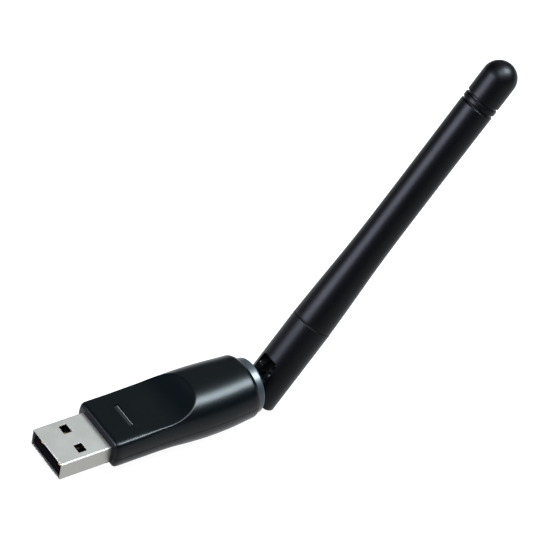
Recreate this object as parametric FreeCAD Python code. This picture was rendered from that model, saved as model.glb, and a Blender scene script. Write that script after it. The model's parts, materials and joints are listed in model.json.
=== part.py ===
import FreeCAD, Part
import math
import os

# USB wireless adapter with a swivelling, tilting rod antenna. Writes one STEP file per piece.
#
# Millimetres. The origin is the centre of the USB plug where it leaves the housing.
# +X runs from the plug towards the antenna, +Y to the left, +Z up, with the latch windows on top.

Vector = FreeCAD.Vector

# USB-A plug
PLUG_OUT = 12.4            # plug length in front of the housing
PLUG_IN = 6.3              # plug length held inside the housing
PLUG_WIDTH = 12.0
PLUG_HEIGHT = 4.5
SHEET = 0.3                # thickness of the folded steel
TONGUE_TOP = 0.0           # height of the tongue's contact face
WINDOW_LONG = 2.0          # latch windows, along X and along Y
WINDOW_WIDE = 2.5
WINDOW_FROM_TIP = 6.3      # window centre behind the mouth
WINDOW_OFFSET = 3.1        # window centre from the middle
CONTACT_WIDTH = 1.0
CONTACT_THICK = 0.2

# Housing
HOUSING_LENGTH = 37.9
WALL = 1.2
NOSE_WALL = 0.55           # the wall under the plug is thinner
SEAM_HALF_GAP = 0.05
NOSE_TOP = 4.1             # flat top face at the plug end, above the plug's centre
NOSE_BOTTOM = 2.85         # flat under face at the plug end, below it
TOP_CREST = 6.95           # height of the barrel where the top scoop runs out
BOTTOM_CREST = 6.6
SCOOP_START = 13.8         # where the flats start to curve out to the barrel
SCOOP_END = 22.6           # where the curves run out over the barrel
FRONT_EDGE = 1.0           # rounding of the flats' front edge
END_WALL = 1.6             # wall that the swivel turns in
PEG_X = 33.3               # pegs that locate the two shells, behind the board
PEG_Y = 4.4
# (x, half width, height above the plug's centre, depth below it, roundness above, roundness below)
HOUSING_STATIONS = [
    (0.0, 7.3, 6.0, 5.4, 3.0, 2.2),
    (0.35, 7.75, 6.4, 5.8, 2.9, 2.15),
    (1.2, 8.0, 6.65, 6.0, 2.8, 2.1),
    (3.5, 8.0, 6.7, 6.05, 2.8, 2.1),
    (8.0, 8.0, 6.8, 6.15, 2.75, 2.1),
    (13.0, 8.0, 6.9, 6.3, 2.65, 2.1),
    (19.0, 8.15, 7.0, 6.55, 2.55, 2.15),
    (25.0, 8.3, 7.05, 6.8, 2.45, 2.25),
    (31.0, 8.15, 6.95, 6.95, 2.3, 2.2),
    (35.0, 7.85, 6.85, 7.0, 2.15, 2.1),
    (36.9, 7.65, 6.75, 7.0, 2.1, 2.1),
    (37.6, 7.5, 6.6, 6.95, 2.1, 2.1),
    (37.9, 7.2, 6.3, 6.7, 2.1, 2.1),
]
SECTION_POINTS = 40

# LED window
LED_SLOT_X = 6.45
LED_SLOT_LONG = 1.2
LED_SLOT_WIDE = 6.8

# Circuit board
BOARD_START = 6.7
BOARD_END = 31.6
BOARD_WIDTH = 12.4
BOARD_THICK = 0.8
BOARD_TOP = TONGUE_TOP - 0.15

# Swivel
AXIS_Z = -0.45             # the swivel's axis, a little below the plug's centre
RING_RADIUS = 6.5
RING_LENGTH = 2.2
JOURNAL_RADIUS = 4.6
RUNNING_GAP = 0.06
KEEPER_RADIUS = 5.2        # inner flange that keeps the swivel in the housing
KEEPER_LENGTH = 1.0
RING_END = HOUSING_LENGTH + RING_LENGTH

# Hinge
HINGE_X = RING_END + 5.9
EYE_RADIUS = 4.2
EYE_THICK = 4.8
NECK_HALF_HEIGHT = 2.3
CABLE_GAP = 2.0            # open middle of the eye, where the cable bends
PIN_RADIUS = 0.9
PIN_GAP = 0.05
PIN_REACH = 3.7            # the pins end inside the fork's cheeks
TILT = 57.0                # the antenna's angle above the housing's axis

# Antenna, measured along its own axis from the hinge
ROD_RADIUS_BASE = 4.83
ROD_RADIUS_TIP = 4.04
# (distance from the hinge, radius) along the rod between the fork and the cap
ROD_TAPER = [
    (20.0, 4.69), (24.0, 4.57), (28.0, 4.41), (32.0, 4.25), (36.0, 4.13),
    (40.0, 4.06), (44.0, 4.02), (52.0, 4.0), (64.0, 4.0), (72.0, 4.02),
]
FORK_BOTTOM = -5.75
FORK_SLOT = 5.0            # 0.1 mm clear of the eye on each side
FORK_SLOT_END = 4.8
FORK_SLOT_CORNER = 1.0
FORK_TOP = 16.1
SPIGOT_RADIUS = 3.85
SPIGOT_TOP = 21.0
LOWER_GROOVE = 77.1
CAP_JOINT = 78.85
ROD_TIP = 88.8
GROOVE_WIDTH = 0.55
GROOVE_DEPTH = 0.4
ROD_WALL = 0.9

# Cable and radiator
CABLE_RADIUS = 0.7
CABLE_PAD_LONG = 4.5       # length of cable lying on the board
CABLE_ON_AXIS = BOARD_END + 3.0
CABLE_MEETS = BOARD_END + 3.3   # where the fixed lead ends and the cable that turns begins
CABLE_BEND = 5.0           # bend radius on the hinge
SLEEVE_BOTTOM = 24.0
FEED_POINT = 49.0
SLEEVE_RADIUS = 2.1
WIRE_RADIUS = 0.5
WIRE_TOP = 73.5


def box(x0, x1, y0, y1, z0, z1):
    """Box between two corners."""
    return Part.makeBox(x1 - x0, y1 - y0, z1 - z0, Vector(x0, y0, z0))


def rod_x(radius, x0, x1):
    """Cylinder on the swivel's axis."""
    return Part.makeCylinder(radius, x1 - x0, Vector(x0, 0, AXIS_Z), Vector(1, 0, 0))


def rod_y(radius, y0, y1):
    """Cylinder on the hinge's axis."""
    return Part.makeCylinder(radius, y1 - y0, Vector(HINGE_X, y0, AXIS_Z), Vector(0, 1, 0))


def rounded_tube_solid(x0, x1, width, height, radius):
    """Bar along X with a rounded rectangular section."""
    half_w, half_h = width / 2, height / 2
    bar = box(x0, x1, -half_w, half_w, -half_h, half_h)
    long_edges = [e for e in bar.Edges if abs(e.tangentAt(e.FirstParameter).x) > 0.99]
    return bar.makeFillet(radius, long_edges)


def lean(shape):
    """Turns a piece built along +X about the hinge's axis up to the antenna's own angle."""
    moved = shape.copy()
    moved.rotate(Vector(HINGE_X, 0, AXIS_Z), Vector(0, -1, 0), TILT)
    return moved


def save(name, shape):
    """Writes one node's STEP file and prints what it holds."""
    solids = shape.Solids
    body = solids[0] if len(solids) == 1 else Part.makeCompound(solids)
    body.exportStep(os.path.join("parts", name + ".step"))
    volume = sum(s.Volume for s in solids)
    valid = all(s.isValid() for s in solids)
    print(f"{name}: {len(solids)} solid(s), {volume:.2f} mm3, valid {valid}")


# ---- Housing ----

def section_wire(x, half_width, top, bottom, round_top, round_bottom, inset=0.0):
    """Closed superellipse across X, pulled in by inset all round, from evenly spaced points."""
    fine = []
    steps = 1440
    for i in range(steps + 1):
        angle = 2 * math.pi * i / steps
        c, s = math.cos(angle), math.sin(angle)
        height, power = (top, 2 / round_top) if s >= 0 else (bottom, 2 / round_bottom)
        y = math.copysign(abs(c) ** power, c) * (half_width - inset)
        z = math.copysign(abs(s) ** power, s) * (height - inset)
        fine.append(Vector(x, y, z))
    travelled = [0.0]
    for before, after in zip(fine, fine[1:]):
        travelled.append(travelled[-1] + (after - before).Length)
    points = []
    k = 0
    for i in range(SECTION_POINTS):
        target = travelled[-1] * i / SECTION_POINTS
        while travelled[k] < target:
            k += 1
        points.append(fine[k])
    curve = Part.BSplineCurve()
    curve.interpolate(Points=points, PeriodicFlag=True)
    return Part.Wire([curve.toShape()])


def barrel(inset=0.0):
    """The housing's loft before its flats are cut."""
    wires = [section_wire(*station, inset=inset) for station in HOUSING_STATIONS]
    return Part.makeLoft(wires, True, False)


def scoop_arc(flat, crest):
    """Middle point of the arc that leaves a flat face's end and rises to the barrel's crest."""
    run, rise = SCOOP_END - SCOOP_START, crest - flat
    radius = (run * run + rise * rise) / (2 * rise)
    half_turn = math.asin(run / radius) / 2
    return Vector(
        SCOOP_START + radius * math.sin(half_turn), 0, flat + radius * (1 - math.cos(half_turn))
    )


def side_profile(inset=0.0):
    """Side view of the flats and scoops, extruded across the housing."""
    nose, belly = NOSE_TOP - inset, NOSE_BOTTOM - min(inset, NOSE_WALL)
    crest_top, crest_low = TOP_CREST - inset, BOTTOM_CREST - inset
    edge = FRONT_EDGE
    beyond, far = 12.0, HOUSING_LENGTH + 5
    corner = edge * (1 - math.sqrt(0.5))

    def p(x, z):
        return Vector(x, -beyond, z)

    def arc(start, middle, end):
        return Part.Arc(p(*start), p(*middle), p(*end)).toShape()

    def line(start, end):
        return Part.LineSegment(p(*start), p(*end)).toShape()

    top_mid = scoop_arc(nose, crest_top)
    low_mid = scoop_arc(belly, crest_low)
    edges = [
        line((0, -belly + edge), (0, nose - edge)),
        arc((0, nose - edge), (corner, nose - corner), (edge, nose)),
        line((edge, nose), (SCOOP_START, nose)),
        arc((SCOOP_START, nose), (top_mid.x, top_mid.z), (SCOOP_END, crest_top)),
        line((SCOOP_END, crest_top), (SCOOP_END, beyond)),
        line((SCOOP_END, beyond), (far, beyond)),
        line((far, beyond), (far, -beyond)),
        line((far, -beyond), (SCOOP_END, -beyond)),
        line((SCOOP_END, -beyond), (SCOOP_END, -crest_low)),
        arc((SCOOP_END, -crest_low), (low_mid.x, -low_mid.z), (SCOOP_START, -belly)),
        line((SCOOP_START, -belly), (edge, -belly)),
        arc((edge, -belly), (corner, -belly + corner), (0, -belly + edge)),
    ]
    face = Part.Face(Part.Wire(edges))
    return face.extrude(Vector(0, 2 * beyond, 0))


def housing_outside():
    """Outer form of the closed housing."""
    return barrel().common(side_profile())


def housing_cavity():
    """Room inside the housing, from the front wall to the end wall."""
    room = barrel(WALL).common(side_profile(WALL))
    return room.common(box(WALL, HOUSING_LENGTH - END_WALL, -12, 12, -12, 12))


def make_shells():
    """Upper and lower housing shells with their ribs, lip, plug opening and swivel seat."""
    outside = housing_outside()
    cavity = housing_cavity()
    wall = outside.cut(cavity)

    fit = 0.05
    plug_hole = rounded_tube_solid(-1, WALL + 1, PLUG_WIDTH + 2 * fit, PLUG_HEIGHT + 2 * fit, 0.55)
    bore = rod_x(JOURNAL_RADIUS + RUNNING_GAP, HOUSING_LENGTH - 3, HOUSING_LENGTH + 1)
    wall = wall.cut(plug_hole).cut(bore)

    upper = wall.common(box(-1, 50, -12, 12, SEAM_HALF_GAP, 12))
    lower = wall.common(box(-1, 50, -12, 12, -12, -SEAM_HALF_GAP))

    # Tongue under the upper shell's rim, which drops into a rebate in the lower shell
    rim = 0.55
    lip_band = box(WALL + 0.3, HOUSING_LENGTH - 2.2, -12, 12, -0.6, SEAM_HALF_GAP)
    lip = barrel(rim).cut(barrel(WALL)).common(lip_band)
    rebate_band = box(WALL + 0.2, HOUSING_LENGTH - 2.1, -12, 12, -0.65, 0)
    rebate = barrel(rim - 0.05).cut(barrel(WALL + 0.2)).common(rebate_band)
    upper = upper.fuse(lip)
    lower = lower.cut(rebate)

    # Posts under the board, and ribs above it
    for x in (BOARD_START + 2.6, BOARD_END - 2.6):
        for side in (-1, 1):
            y = side * (BOARD_WIDTH / 2 - 1.1)
            post = box(x - 0.6, x + 0.6, y - 0.6, y + 0.6, -7, BOARD_TOP - BOARD_THICK - 0.02)
            rib = box(x - 0.5, x + 0.5, y - 0.5, y + 0.5, BOARD_TOP + 0.02, 7.5)
            lower = lower.fuse(post.common(outside))
            upper = upper.fuse(rib.common(outside))

    # Pegs under the upper shell, in bosses on the lower one
    for side in (-1, 1):
        boss = Part.makeCylinder(1.5, 8, Vector(PEG_X, side * PEG_Y, -8 - SEAM_HALF_GAP))
        hole = Part.makeCylinder(0.85, 2.6, Vector(PEG_X, side * PEG_Y, -2.6))
        peg = Part.makeCylinder(0.8, 2.6, Vector(PEG_X, side * PEG_Y, -2.2))
        stalk = Part.makeCylinder(1.5, 8, Vector(PEG_X, side * PEG_Y, SEAM_HALF_GAP))
        lower = lower.fuse(boss.common(outside)).cut(hole)
        upper = upper.fuse(stalk.fuse(peg).common(outside))

    slot = box(
        LED_SLOT_X - LED_SLOT_LONG / 2, LED_SLOT_X + LED_SLOT_LONG / 2,
        -LED_SLOT_WIDE / 2, LED_SLOT_WIDE / 2, 0, 8,
    )
    upper = upper.cut(slot)
    return upper, lower


# ---- Plug ----

def make_plug_shell():
    """Folded steel shell: rounded tube, latch windows, dovetailed seam below, and two board tabs."""
    x0, x1 = -PLUG_OUT, PLUG_IN
    outer = rounded_tube_solid(x0, x1, PLUG_WIDTH, PLUG_HEIGHT, 0.5)
    mouth_edges = [
        e for e in outer.Edges
        if all(abs(v.Point.x - x0) < 1e-6 for v in e.Vertexes)
    ]
    outer = outer.makeFillet(0.14, mouth_edges)
    inner = rounded_tube_solid(
        x0 - 1, x1 + 1, PLUG_WIDTH - 2 * SHEET, PLUG_HEIGHT - 2 * SHEET, 0.25
    )
    shell = outer.cut(inner)

    for side in (-1, 1):
        y = side * WINDOW_OFFSET
        x = x0 + WINDOW_FROM_TIP
        window = box(
            x - WINDOW_LONG / 2, x + WINDOW_LONG / 2, y - WINDOW_WIDE / 2, y + WINDOW_WIDE / 2, -5, 5
        )
        shell = shell.cut(window)

    shell = shell.cut(seam_slit(x0, x1))

    tab_long = 1.6
    for side in (-1, 1):
        inner_y = side * (PLUG_WIDTH / 2 - SHEET)
        outer_y = side * PLUG_WIDTH / 2
        low_y, high_y = min(inner_y, outer_y), max(inner_y, outer_y)
        arm = box(x1 - 0.1, x1 + 1.1 + tab_long, low_y, high_y, 0.1, 1.5)
        leg = box(x1 + 1.1, x1 + 1.1 + tab_long, low_y, high_y, BOARD_TOP - BOARD_THICK - 0.6, 1.5)
        shell = shell.fuse(arm).fuse(leg)
    return shell.removeSplitter()


def seam_slit(x0, x1):
    """Thin slit where the folded sheet meets under the plug, with one dovetail."""
    slit = 0.08
    floor, roof = -PLUG_HEIGHT / 2 - 1, -PLUG_HEIGHT / 2 + SHEET + 0.2
    middle, neck, head, reach = -3.2, 0.8, 1.3, 1.5
    path = [
        (x0 - 1, 0), (middle - neck, 0), (middle - head, reach),
        (middle + head, reach), (middle + neck, 0), (x1 + 1, 0),
    ]
    cutter = None
    for (ax, ay), (bx, by) in zip(path, path[1:]):
        length = math.hypot(bx - ax, by - ay)
        strip = Part.makeBox(length + slit, slit, roof - floor, Vector(-slit / 2, -slit / 2, floor))
        strip.rotate(Vector(0, 0, 0), Vector(0, 0, 1), math.degrees(math.atan2(by - ay, bx - ax)))
        strip.translate(Vector(ax, ay, 0))
        cutter = strip if cutter is None else cutter.fuse(strip)
    return cutter


CONTACTS = [
    ("contact_vbus", 3.5, -11.3),
    ("contact_dminus", 1.0, -10.3),
    ("contact_dplus", -1.0, -10.3),
    ("contact_gnd", -3.5, -11.3),
]
CONTACT_TAIL = 8.3


def make_contact(y, start):
    """Flat spring contact: dipped nose, run along the tongue, tail on the board."""
    top, thick, half = TONGUE_TOP + 0.05, CONTACT_THICK, CONTACT_WIDTH / 2
    outline = [
        (start, top - 0.35), (start + 0.6, top), (CONTACT_TAIL, top),
        (CONTACT_TAIL, top - thick), (start + 0.65, top - thick), (start + 0.05, top - 0.35 - thick),
    ]
    points = [Vector(x, y - half, z) for x, z in outline]
    face = Part.Face(Part.makePolygon(points + [points[0]]))
    return face.extrude(Vector(0, 2 * half, 0))


def make_insulator():
    """Moulded tongue in the lower half of the plug, with a solid block behind it."""
    gap = 0.04
    half_w = PLUG_WIDTH / 2 - SHEET - gap
    low = -PLUG_HEIGHT / 2 + SHEET + gap
    high = -low
    tip, block = -PLUG_OUT + 0.45, -3.4
    outline = [
        (tip, low), (tip, TONGUE_TOP - 0.5), (tip + 0.5, TONGUE_TOP), (block, TONGUE_TOP),
        (block, high), (PLUG_IN - 0.5, high), (PLUG_IN - 0.5, low),
    ]
    points = [Vector(x, -half_w, z) for x, z in outline]
    body = Part.Face(Part.makePolygon(points + [points[0]])).extrude(Vector(0, 2 * half_w, 0))
    long_edges = [
        e for e in body.Edges
        if abs(e.tangentAt(e.FirstParameter).x) > 0.99 and abs(abs(e.Vertexes[0].Y) - half_w) < 1e-6
        and abs(abs(e.Vertexes[0].Z) - high) < 1e-6
    ]
    body = body.makeFillet(0.25, long_edges)
    clear = 0.03
    for _, y, start in CONTACTS:
        half = CONTACT_WIDTH / 2 + clear
        channel = box(
            start - 0.3, PLUG_IN + 1, y - half, y + half,
            TONGUE_TOP + 0.05 - CONTACT_THICK - clear, TONGUE_TOP + 0.05 + clear,
        )
        nose = box(start - 0.3, start + 0.8, y - half, y + half, TONGUE_TOP - 0.6, TONGUE_TOP + 0.1)
        body = body.cut(channel).cut(nose)
    return body


# ---- Board and its parts ----

def make_board():
    """Circuit board with slots for the plug's tabs and its corners cut at the swivel end."""
    half = BOARD_WIDTH / 2
    board = box(BOARD_START, BOARD_END, -half, half, BOARD_TOP - BOARD_THICK, BOARD_TOP)
    for side in (-1, 1):
        y = side * (PLUG_WIDTH / 2 - SHEET / 2)
        x = PLUG_IN + 1.1
        board = board.cut(box(x - 0.15, x + 1.75, y - 0.3, y + 0.3, -3, 1))
    corner_edges = [
        e for e in board.Edges
        if abs(e.tangentAt(e.FirstParameter).z) > 0.99 and abs(e.Vertexes[0].X - BOARD_END) < 1e-6
    ]
    return board.makeChamfer(1.2, corner_edges)


def on_board(x, y, length, width, height, corner=0.0):
    """Part standing on the board's top face, centred on x, y."""
    body = box(
        x - length / 2, x + length / 2, y - width / 2, y + width / 2, BOARD_TOP, BOARD_TOP + height
    )
    if corner:
        uprights = [e for e in body.Edges if abs(e.tangentAt(e.FirstParameter).z) > 0.99]
        body = body.makeFillet(corner, uprights)
    return body


def two_pad_part(x, y, length, width, height, turned=False):
    """Chip part with a body a little lower than its two end caps."""
    if turned:
        length, width = width, length
    body = on_board(x, y, length, width, height)
    end = 0.22
    if turned:
        waist = on_board(x, y, length, width - 2 * width * end, height)
    else:
        waist = on_board(x, y, length - 2 * length * end, width, height)
    shave = waist.copy()
    shave.translate(Vector(0, 0, height - 0.04))
    return body.cut(shave)


CAPACITORS = [
    (11.6, 4.6, True), (11.6, 2.9, True), (13.4, -4.9, False), (15.6, -4.9, False),
    (17.8, 5.2, False), (20.2, 5.2, False), (23.8, 3.9, True), (23.8, -3.9, True),
]
RESISTORS = [
    (10.0, -3.6, True), (11.5, -2.6, True), (22.4, 5.3, False), (26.4, 1.1, False), (26.4, -1.1, False),
]


def make_board_parts():
    """Every part soldered to the board, by node name."""
    parts = {}
    chip = on_board(18.0, 0.0, 5.0, 5.0, 0.85, 0.1)
    dot = Part.makeCylinder(0.25, 0.1, Vector(16.1, 1.9, BOARD_TOP + 0.8))
    parts["wifi_chip"] = chip.cut(dot)
    parts["crystal"] = on_board(23.6, 0.0, 2.5, 3.2, 0.7, 0.3)
    regulator = on_board(13.4, -1.6, 1.4, 2.9, 1.1)
    for dy in (-0.95, 0.0, 0.95):
        if dy:
            regulator = regulator.fuse(on_board(14.4, -1.6 + dy, 0.7, 0.4, 0.25))
        else:
            regulator = regulator.fuse(on_board(12.4, -1.6, 0.7, 0.4, 0.25))
    parts["voltage_regulator"] = regulator
    parts["power_inductor"] = on_board(13.9, 2.8, 2.4, 2.0, 1.1, 0.3)
    parts["status_led"] = two_pad_part(10.0, 0.0, 1.6, 0.8, 0.55, True)
    parts["chip_capacitors"] = Part.makeCompound(
        [two_pad_part(x, y, 1.5, 0.8, 0.7, t) for x, y, t in CAPACITORS]
    )
    parts["chip_resistors"] = Part.makeCompound(
        [two_pad_part(x, y, 1.4, 0.7, 0.4, t) for x, y, t in RESISTORS]
    )
    return parts


def make_led_window():
    """Light pipe: a leg over the LED, a plate under the roof and a bar that fills the slot."""
    gap = 0.04
    half_l, half_w = LED_SLOT_LONG / 2 - gap, LED_SLOT_WIDE / 2 - gap
    bar = box(
        LED_SLOT_X - half_l, LED_SLOT_X + half_l, -half_w, half_w, 2.5, NOSE_TOP - 0.25
    )
    plate = box(LED_SLOT_X - 1.1, 10.7, -half_w - 0.4, half_w + 0.4, 2.35, NOSE_TOP - WALL - 0.05)
    leg = box(9.5, 10.5, -0.6, 0.6, BOARD_TOP + 0.75, 2.4)
    return bar.fuse(plate).fuse(leg).removeSplitter()


# ---- Swivel, hinge and cable ----

def make_swivel():
    """Turning base: inner keeper flange, journal, outer ring, neck and the hinge's two-eared eye."""
    gap = 0.05
    keeper_end = HOUSING_LENGTH - END_WALL - gap
    keeper = rod_x(KEEPER_RADIUS, keeper_end - KEEPER_LENGTH, keeper_end)
    journal = rod_x(JOURNAL_RADIUS, keeper_end - 0.2, HOUSING_LENGTH + 0.4)
    ring = rod_x(RING_RADIUS, HOUSING_LENGTH + gap, RING_END)
    rear_edge = [
        e for e in ring.Edges if e.Closed and abs(e.BoundBox.XMin - RING_END) < 1e-6
    ]
    ring = ring.makeFillet(0.5, rear_edge)
    half = EYE_THICK / 2
    neck = box(
        RING_END - 0.5, HINGE_X, -half, half, AXIS_Z - NECK_HALF_HEIGHT, AXIS_Z + NECK_HALF_HEIGHT
    )
    neck_edges = [e for e in neck.Edges if abs(e.tangentAt(e.FirstParameter).x) > 0.99]
    neck = neck.makeFillet(0.3, neck_edges)
    eye = rod_y(EYE_RADIUS, -half, half)
    eye = eye.makeFillet(0.3, [e for e in eye.Edges if e.Closed])
    body = keeper.fuse(journal).fuse(ring).fuse(neck).fuse(eye)
    tunnel = rod_x(CABLE_RADIUS + 0.3, keeper_end - KEEPER_LENGTH - 1, HINGE_X)
    bend_room = box(HINGE_X - 3.2, HINGE_X + 6, -CABLE_GAP / 2, CABLE_GAP / 2, -7, 7)
    pin_hole = rod_y(PIN_RADIUS + PIN_GAP, -half - 1, half + 1)
    return body.cut(tunnel).cut(bend_room).cut(pin_hole)


def make_hinge_pin(side):
    """Short pin pressed in one cheek of the fork and running in one ear of the eye."""
    inner, outer = CABLE_GAP / 2 + 0.1, PIN_REACH
    low, high = (inner, outer) if side > 0 else (-outer, -inner)
    pin = rod_y(PIN_RADIUS, low, high)
    return pin.makeChamfer(0.15, [e for e in pin.Edges if e.Closed])


def revolve_rod(outline):
    """Solid of revolution about the antenna's axis from (along, radius) points."""
    points = [Vector(HINGE_X + along, 0, AXIS_Z + radius) for along, radius in outline]
    face = Part.Face(Part.makePolygon(points + [points[0]]))
    return face.revolve(Vector(HINGE_X, 0, AXIS_Z), Vector(1, 0, 0), 360)


def make_fork():
    """Antenna foot: cheeks either side of the eye, square heel below, spigot up into the rod."""
    base = rod_x(ROD_RADIUS_BASE, HINGE_X + FORK_BOTTOM, HINGE_X + FORK_TOP)
    base = base.makeFillet(0.35, [
        e for e in base.Edges if e.Closed and abs(e.BoundBox.XMin - HINGE_X - FORK_BOTTOM) < 1e-6
    ])
    # The upper corner follows an arc about the hinge, so that it clears the ring when the rod lifts
    swing = rod_y(-FORK_BOTTOM, -6, 6)
    corner = box(HINGE_X - 8, HINGE_X, -6, 6, AXIS_Z, AXIS_Z + 8).cut(swing)
    base = base.cut(corner)
    half = FORK_SLOT / 2
    slot = box(HINGE_X - 8, HINGE_X + FORK_SLOT_END, -half, half, -8, 8)
    end_edges = [
        e for e in slot.Edges
        if abs(e.tangentAt(e.FirstParameter).z) > 0.99
        and abs(e.Vertexes[0].X - HINGE_X - FORK_SLOT_END) < 1e-6
    ]
    slot = slot.makeFillet(FORK_SLOT_CORNER, end_edges)
    spigot = rod_x(SPIGOT_RADIUS, HINGE_X + FORK_TOP - 0.5, HINGE_X + SPIGOT_TOP)
    bore = rod_x(CABLE_RADIUS + 0.25, HINGE_X, HINGE_X + SPIGOT_TOP + 1)
    pin_hole = rod_y(PIN_RADIUS, -PIN_REACH, PIN_REACH)
    return base.fuse(spigot).cut(slot).cut(bore).cut(pin_hole)


def groove_ring(along):
    """Round-bottomed groove cutter about the rod."""
    ring = Part.makeTorus(
        ROD_RADIUS_TIP + GROOVE_WIDTH / 2 - GROOVE_DEPTH, GROOVE_WIDTH / 2,
        Vector(HINGE_X + along, 0, AXIS_Z), Vector(1, 0, 0),
    )
    return ring


def tapered_rod(low, high):
    """Solid rod between two distances from the hinge, waisted along its taper stations."""
    stations = [(low, ROD_RADIUS_BASE - 0.03)] + ROD_TAPER + [(high, ROD_RADIUS_TIP)]
    points = [Vector(HINGE_X + along, 0, AXIS_Z + radius) for along, radius in stations]
    curve = Part.BSplineCurve()
    curve.interpolate(points)
    start, end = Vector(HINGE_X + low, 0, AXIS_Z), Vector(HINGE_X + high, 0, AXIS_Z)
    wire = Part.Wire([
        curve.toShape(),
        Part.LineSegment(points[-1], end).toShape(),
        Part.LineSegment(end, start).toShape(),
        Part.LineSegment(start, points[0]).toShape(),
    ])
    return Part.Face(wire).revolve(Vector(HINGE_X, 0, AXIS_Z), Vector(1, 0, 0), 360)


def make_rod_tube():
    """Waisted hollow rod between the fork and the cap, with one groove below its top."""
    low, high = FORK_TOP + 0.05, CAP_JOINT - GROOVE_WIDTH / 2
    outer = tapered_rod(low, high)
    fit, narrow = SPIGOT_RADIUS + 0.03, ROD_RADIUS_TIP - ROD_WALL - 0.1
    bore = revolve_rod([
        (low - 1, 0), (low - 1, fit), (SPIGOT_TOP + 0.4, fit), (SPIGOT_TOP + 8, narrow),
        (high + 1, narrow), (high + 1, 0),
    ])
    return outer.cut(bore).cut(groove_ring(LOWER_GROOVE))


def make_cap():
    """Domed tip with a spigot down into the rod. Its foot and the rod's top make the upper groove."""
    top, radius = CAP_JOINT + GROOVE_WIDTH / 2, ROD_RADIUS_TIP
    dome_centre = ROD_TIP - radius
    body = rod_x(radius, HINGE_X + top, HINGE_X + dome_centre)
    dome = Part.makeSphere(radius, Vector(HINGE_X + dome_centre, 0, AXIS_Z))
    spigot_radius = radius - ROD_WALL - 0.14
    waist = rod_x(radius - GROOVE_DEPTH, HINGE_X + CAP_JOINT - GROOVE_WIDTH / 2, HINGE_X + top)
    spigot = rod_x(spigot_radius, HINGE_X + CAP_JOINT - 4.5, HINGE_X + top)
    body = body.fuse(dome).fuse(waist).fuse(spigot)
    hollow = rod_x(spigot_radius - 0.8, HINGE_X + CAP_JOINT - 5, HINGE_X + dome_centre)
    return body.cut(hollow)


def make_sleeve():
    """Brass sleeve, the lower arm of the dipole, closed at the feed point."""
    tube = rod_x(SLEEVE_RADIUS, HINGE_X + SLEEVE_BOTTOM, HINGE_X + FEED_POINT)
    inside = rod_x(SLEEVE_RADIUS - 0.25, HINGE_X + SLEEVE_BOTTOM - 1, HINGE_X + FEED_POINT - 0.4)
    hole = rod_x(CABLE_RADIUS + 0.02, HINGE_X + SLEEVE_BOTTOM, HINGE_X + FEED_POINT + 1)
    return tube.cut(inside).cut(hole)


def make_wire():
    """Copper wire, the upper arm of the dipole."""
    return rod_x(WIRE_RADIUS, HINGE_X + FEED_POINT + 0.05, HINGE_X + WIRE_TOP)


def make_spacer():
    """Foam ring that centres the wire in the rod."""
    x0, x1 = HINGE_X + 66.0, HINGE_X + 70.0
    outer = rod_x(2.9, x0, x1)
    return outer.cut(rod_x(WIRE_RADIUS + 0.02, x0 - 1, x1 + 1))


def cable_along(start, edges):
    """Round cable along edges that leave the start point towards +X."""
    ring = Part.Wire([Part.Circle(start, Vector(1, 0, 0), CABLE_RADIUS).toShape()])
    return Part.Wire(edges).makePipeShell([ring], True, False)


def make_board_lead():
    """Fixed end of the coaxial cable: along its pad on the board and down to the swivel's axis."""
    pad_z = BOARD_TOP + CABLE_RADIUS
    pad_start = Vector(BOARD_END - CABLE_PAD_LONG, 0, pad_z)
    ramp_start = BOARD_END + 0.2
    meets = Vector(CABLE_MEETS - 0.05, 0, AXIS_Z)
    return cable_along(pad_start, [
        Part.LineSegment(pad_start, Vector(ramp_start, 0, pad_z)).toShape(),
        *ramp(ramp_start, CABLE_ON_AXIS, pad_z, AXIS_Z),
        Part.LineSegment(Vector(CABLE_ON_AXIS, 0, AXIS_Z), meets).toShape(),
    ])


def make_cable():
    """Coaxial cable that turns with the swivel: along its axis, a bend at the hinge, up to the feed."""
    turn = math.radians(TILT)
    reach = CABLE_BEND * math.tan(turn / 2)
    lift = Vector(math.cos(turn), 0, math.sin(turn))
    pivot = Vector(HINGE_X, 0, AXIS_Z)
    start = Vector(CABLE_MEETS, 0, AXIS_Z)
    bend_in = pivot - Vector(reach, 0, 0)
    bend_out = pivot + lift * reach
    centre = bend_in + Vector(0, 0, CABLE_BEND)
    bend_mid = centre + Vector(math.sin(turn / 2), 0, -math.cos(turn / 2)) * CABLE_BEND
    end = pivot + lift * (FEED_POINT - 0.5)
    return cable_along(start, [
        Part.LineSegment(start, bend_in).toShape(),
        Part.Arc(bend_in, bend_mid, bend_out).toShape(),
        Part.LineSegment(bend_out, end).toShape(),
    ])


def ramp(x0, x1, z0, z1):
    """Two equal tangent arcs that carry the cable from one height to another."""
    run, rise = x1 - x0, z1 - z0
    radius = (run * run + rise * rise) / (4 * abs(rise))
    sign = math.copysign(1, rise)
    half = math.asin(run / (2 * radius)) / 2
    mid = Vector((x0 + x1) / 2, 0, (z0 + z1) / 2)
    first = Vector(x0 + radius * math.sin(half), 0, z0 + sign * radius * (1 - math.cos(half)))
    second = Vector(x1 - radius * math.sin(half), 0, z1 - sign * radius * (1 - math.cos(half)))
    return [
        Part.Arc(Vector(x0, 0, z0), first, mid).toShape(),
        Part.Arc(mid, second, Vector(x1, 0, z1)).toShape(),
    ]


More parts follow.
